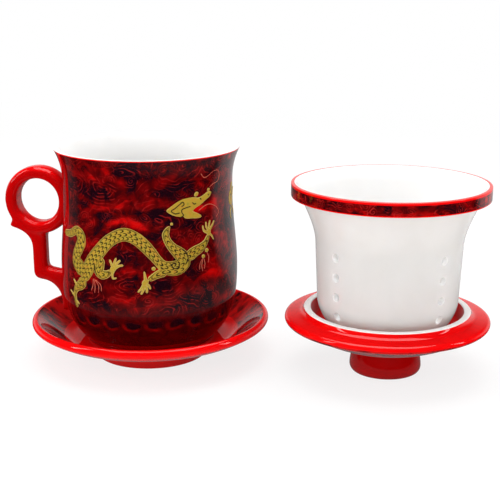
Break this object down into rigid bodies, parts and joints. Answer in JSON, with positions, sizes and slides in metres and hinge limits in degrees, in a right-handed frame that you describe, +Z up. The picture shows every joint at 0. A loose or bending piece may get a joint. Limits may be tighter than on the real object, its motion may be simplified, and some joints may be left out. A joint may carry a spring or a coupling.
{
  "type": "tea infuser mug",
  "caption": "Porcelain tea mug with a ring handle on a saucer, its lift-out strainer standing in the upturned lid beside it.",
  "frame": {"origin": "bottom centre of the whole set's box, on the table", "axes": "+Z up, +X from the mug towards the strainer and lid, -Y towards the viewer of the picture"},
  "size_m": [0.2234, 0.126, 0.0991],
  "materials": {
    "printed_glaze": "glossy glaze over a dark red and black print",
    "red_glaze": "glossy plain red glaze",
    "white_glaze": "glossy clear glaze on white porcelain"
  },
  "bodies": {
    "saucer": {"saucer": "printed_glaze"},
    "mug": {"mug_body": "printed_glaze", "mug_handle": "red_glaze"},
    "lid": {"lid_cover": "red_glaze", "lid_knob": "red_glaze"},
    "strainer": {"strainer": "white_glaze"}
  },
  "joints": [
    {"name": "mug_lift", "type": "slide", "parent": "saucer", "child": "mug", "axis": [0, 0, 1], "range_m": [0, 0.1]},
    {"name": "lid_lift", "type": "slide", "parent": "saucer", "child": "lid", "axis": [0, 0, 1], "range_m": [0, 0.06]},
    {"name": "strainer_lift", "type": "slide", "parent": "lid", "child": "strainer", "axis": [0, 0, 1], "range_m": [0, 0.1]}
  ]
}
